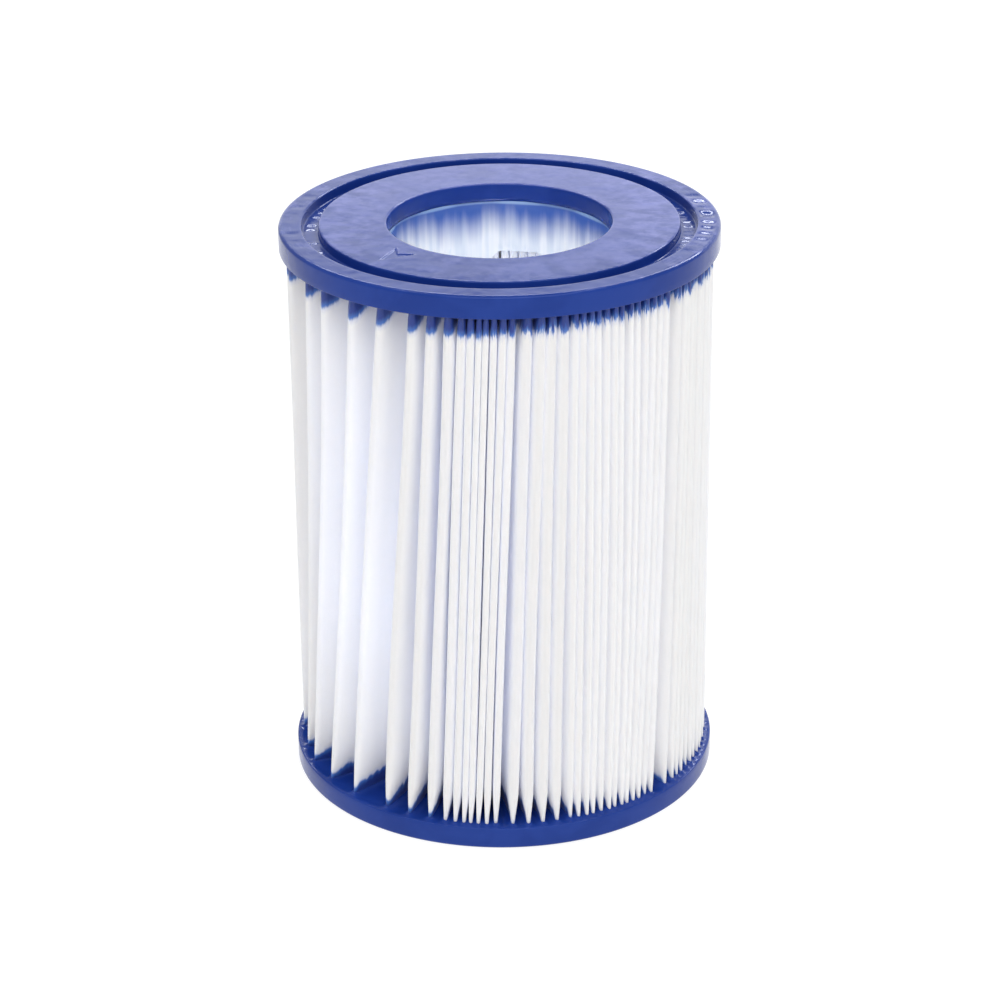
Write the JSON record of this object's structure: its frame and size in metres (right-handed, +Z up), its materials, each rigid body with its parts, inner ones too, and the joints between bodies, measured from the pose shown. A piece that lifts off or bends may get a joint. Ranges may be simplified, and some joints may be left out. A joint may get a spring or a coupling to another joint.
{
  "type": "filter cartridge",
  "caption": "Pleated pool filter cartridge: white folded fabric on a slotted core tube, cast between two blue ring-shaped end caps with a hole through the middle.",
  "frame": {"origin": "centre of the bottom cap's outer face, on the cartridge's axis", "axes": "+Z up along the cartridge's axis, out of the cap with the arrowhead; -Y towards the front, where the pleats change from loose to dense; the fabric's seam is at +Y"},
  "size_m": [0.104, 0.104, 0.14],
  "materials": {
    "cap_vinyl": "satin soft cast vinyl",
    "core_plastic": "milky translucent moulded polypropylene",
    "filter_fabric": "matte bonded non-woven polyester",
    "seam_glue": "waxy hot-melt glue"
  },
  "bodies": {
    "root": {"top_end_cap": "cap_vinyl", "bottom_end_cap": "cap_vinyl", "core_tube": "core_plastic", "pleated_media": "filter_fabric", "media_seam": "seam_glue"}
  },
  "joints": []
}
